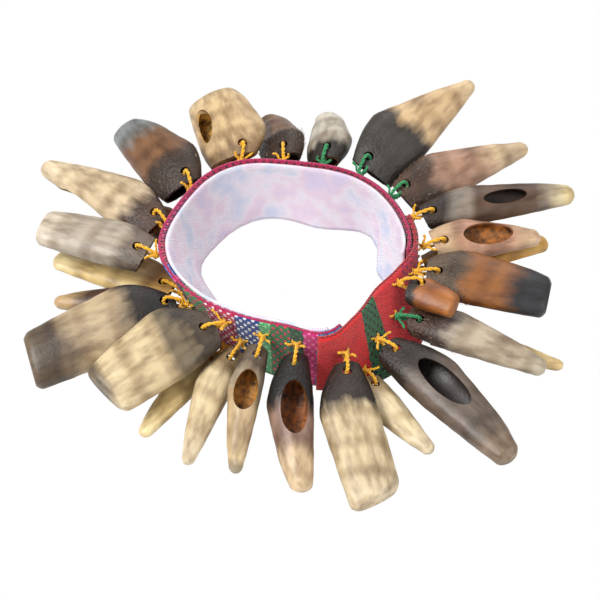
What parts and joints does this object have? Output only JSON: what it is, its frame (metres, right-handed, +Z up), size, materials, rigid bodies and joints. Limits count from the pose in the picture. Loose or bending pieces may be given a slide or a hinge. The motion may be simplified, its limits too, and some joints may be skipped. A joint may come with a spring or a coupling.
{
  "type": "bracelet shaker",
  "caption": "Woven cloth bracelet hung all round with hollow goat claws on yarn ties, which rattle when it is shaken.",
  "frame": {"origin": "centre of the whole bracelet's box, on the surface it lies on", "axes": "+Z up through the wrist opening, +X to the right seen from the front, +Y to the back"},
  "size_m": [0.1669, 0.1616, 0.0324],
  "materials": {
    "woven_wool": "coarse handwoven wool in coloured blocks",
    "cotton_lining": "thin plain-woven cotton, faintly dyed",
    "red_wool": "plain red handwoven wool",
    "claw_horn": "dried goat horn, satin, streaked brown and black",
    "yellow_yarn": "two-ply wool yarn",
    "green_yarn": "two-ply wool yarn"
  },
  "bodies": {
    "band": {"woven_band": "woven_wool", "cotton_lining": "cotton_lining", "lap_panel": "red_wool"},
    "claw_01": {"claw_01": "claw_horn", "tie_01": "yellow_yarn"},
    "claw_02": {"claw_02": "claw_horn", "tie_02": "yellow_yarn"},
    "claw_03": {"claw_03": "claw_horn", "tie_03": "yellow_yarn"},
    "claw_04": {"claw_04": "claw_horn", "tie_04": "yellow_yarn"},
    "claw_05": {"claw_05": "claw_horn", "tie_05": "yellow_yarn"},
    "claw_06": {"claw_06": "claw_horn", "tie_06": "yellow_yarn"},
    "claw_07": {"claw_07": "claw_horn", "tie_07": "yellow_yarn"},
    "claw_08": {"claw_08": "claw_horn", "tie_08": "yellow_yarn"},
    "claw_09": {"claw_09": "claw_horn", "tie_09": "yellow_yarn"},
    "claw_10": {"claw_10": "claw_horn", "tie_10": "yellow_yarn"},
    "claw_11": {"claw_11": "claw_horn", "tie_11": "yellow_yarn"},
    "claw_12": {"claw_12": "claw_horn", "tie_12": "yellow_yarn"},
    "claw_13": {"claw_13": "claw_horn", "tie_13": "yellow_yarn"},
    "claw_14": {"claw_14": "claw_horn", "tie_14": "green_yarn"},
    "claw_15": {"claw_15": "claw_horn", "tie_15": "yellow_yarn"},
    "claw_16": {"claw_16": "claw_horn", "tie_16": "yellow_yarn"},
    "claw_17": {"claw_17": "claw_horn", "tie_17": "yellow_yarn"},
    "claw_18": {"claw_18": "claw_horn", "tie_18": "yellow_yarn"},
    "claw_19": {"claw_19": "claw_horn", "tie_19": "yellow_yarn"},
    "claw_20": {"claw_20": "claw_horn", "tie_20": "yellow_yarn"},
    "claw_21": {"claw_21": "claw_horn", "tie_21": "green_yarn"},
    "claw_22": {"claw_22": "claw_horn", "tie_22": "green_yarn"},
    "claw_23": {"claw_23": "claw_horn", "tie_23": "green_yarn"},
    "claw_24": {"claw_24": "claw_horn", "tie_24": "yellow_yarn"},
    "claw_25": {"claw_25": "claw_horn", "tie_25": "yellow_yarn"},
    "claw_26": {"claw_26": "claw_horn", "tie_26": "yellow_yarn"},
    "claw_27": {"claw_27": "claw_horn", "tie_27": "yellow_yarn"}
  },
  "joints": [
    {"name": "claw_01_swing", "type": "hinge", "parent": "band", "child": "claw_01", "pos_m": [-0.04197, 0.02052, 0.02], "axis": [0.6691, 0.7431, 0], "range_deg": [0, 35]},
    {"name": "claw_02_swing", "type": "hinge", "parent": "band", "child": "claw_02", "pos_m": [-0.04461, 0.00632, 0.022], "axis": [0.3746, 0.9272, 0], "range_deg": [0, 35]},
    {"name": "claw_03_swing", "type": "hinge", "parent": "band", "child": "claw_03", "pos_m": [-0.03751, 0.00463, 0.008], "axis": [0.4067, 0.9135, 0], "range_deg": [-25, 3]},
    {"name": "claw_04_swing", "type": "hinge", "parent": "band", "child": "claw_04", "pos_m": [-0.03621, -0.00576, 0.012], "axis": [0.225, 0.9744, 0], "range_deg": [0, 12]},
    {"name": "claw_05_swing", "type": "hinge", "parent": "band", "child": "claw_05", "pos_m": [-0.03534, -0.01096, 0.018], "axis": [-0.3746, 0.9272, 0], "range_deg": [0, 12]},
    {"name": "claw_06_swing", "type": "hinge", "parent": "band", "child": "claw_06", "pos_m": [-0.02371, -0.02166, 0.021], "axis": [-0.6018, 0.7986, 0], "range_deg": [0, 24]},
    {"name": "claw_07_swing", "type": "hinge", "parent": "band", "child": "claw_07", "pos_m": [-0.02435, -0.01768, 0.007], "axis": [-0.8192, 0.5736, 0], "range_deg": [-25, 3]},
    {"name": "claw_08_swing", "type": "hinge", "parent": "band", "child": "claw_08", "pos_m": [-0.01874, -0.02284, 0.014], "axis": [-0.9272, 0.3746, 0], "range_deg": [0, 6]},
    {"name": "claw_09_swing", "type": "hinge", "parent": "band", "child": "claw_09", "pos_m": [-0.01242, -0.02632, 0.02], "axis": [-0.9816, 0.1908, 0], "range_deg": [0, 35]},
    {"name": "claw_10_swing", "type": "hinge", "parent": "band", "child": "claw_10", "pos_m": [-0.00221, -0.02958, 0.02], "axis": [-0.9994, -0.0349, 0], "range_deg": [0, 35]},
    {"name": "claw_11_swing", "type": "hinge", "parent": "band", "child": "claw_11", "pos_m": [0.01224, -0.0303, 0.017], "axis": [-0.9703, -0.2419, 0], "range_deg": [0, 35]},
    {"name": "claw_12_swing", "type": "hinge", "parent": "band", "child": "claw_12", "pos_m": [0.0177, -0.02854, 0.008], "axis": [-0.848, -0.5299, 0], "range_deg": [-25, 3]},
    {"name": "claw_13_swing", "type": "hinge", "parent": "band", "child": "claw_13", "pos_m": [0.02186, -0.0224, 0.015], "axis": [-0.7314, -0.682, 0], "range_deg": [0, 35]},
    {"name": "claw_14_swing", "type": "hinge", "parent": "band", "child": "claw_14", "pos_m": [0.02772, -0.01357, 0.016], "axis": [-0.309, -0.9511, 0], "range_deg": [0, 3]},
    {"name": "claw_15_swing", "type": "hinge", "parent": "band", "child": "claw_15", "pos_m": [0.03519, -0.00988, 0.006], "axis": [-0.2756, -0.9613, 0], "range_deg": [-25, 0]},
    {"name": "claw_16_swing", "type": "hinge", "parent": "band", "child": "claw_16", "pos_m": [0.03344, 0, 0.021], "axis": [-0.1908, -0.9816, 0], "range_deg": [0, 35]},
    {"name": "claw_17_swing", "type": "hinge", "parent": "band", "child": "claw_17", "pos_m": [0.02854, -0.00692, 0.023], "axis": [-0.4848, -0.8746, 0], "range_deg": [0, 35]},
    {"name": "claw_18_swing", "type": "hinge", "parent": "band", "child": "claw_18", "pos_m": [0.03603, 0.01114, 0.021], "axis": [0.2419, -0.9703, 0], "range_deg": [0, 35]},
    {"name": "claw_19_swing", "type": "hinge", "parent": "band", "child": "claw_19", "pos_m": [0.03298, 0.02376, 0.021], "axis": [0.2419, -0.9703, 0], "range_deg": [0, 35]},
    {"name": "claw_20_swing", "type": "hinge", "parent": "band", "child": "claw_20", "pos_m": [0.03428, 0.01631, 0.007], "axis": [0.309, -0.9511, 0], "range_deg": [-25, 3]},
    {"name": "claw_21_swing", "type": "hinge", "parent": "band", "child": "claw_21", "pos_m": [0.02661, 0.03266, 0.021], "axis": [0.5446, -0.8387, 0], "range_deg": [0, 35]},
    {"name": "claw_22_swing", "type": "hinge", "parent": "band", "child": "claw_22", "pos_m": [0.01718, 0.04174, 0.022], "axis": [0.7431, -0.6691, 0], "range_deg": [0, 35]},
    {"name": "claw_23_swing", "type": "hinge", "parent": "band", "child": "claw_23", "pos_m": [0.00547, 0.04622, 0.022], "axis": [0.9976, -0.0698, 0], "range_deg": [0, 35]},
    {"name": "claw_24_swing", "type": "hinge", "parent": "band", "child": "claw_24", "pos_m": [-0.00643, 0.04795, 0.022], "axis": [0.9903, 0.1392, 0], "range_deg": [0, 6]},
    {"name": "claw_25_swing", "type": "hinge", "parent": "band", "child": "claw_25", "pos_m": [-0.02006, 0.04759, 0.022], "axis": [0.9613, 0.2756, 0], "range_deg": [0, 35]},
    {"name": "claw_26_swing", "type": "hinge", "parent": "band", "child": "claw_26", "pos_m": [-0.03503, 0.03603, 0.021], "axis": [0.848, 0.5299, 0], "range_deg": [0, 35]},
    {"name": "claw_27_swing", "type": "hinge", "parent": "band", "child": "claw_27", "pos_m": [-0.03697, 0.02675, 0.008], "axis": [0.6691, 0.7431, 0], "range_deg": [-25, 3]}
  ]
}
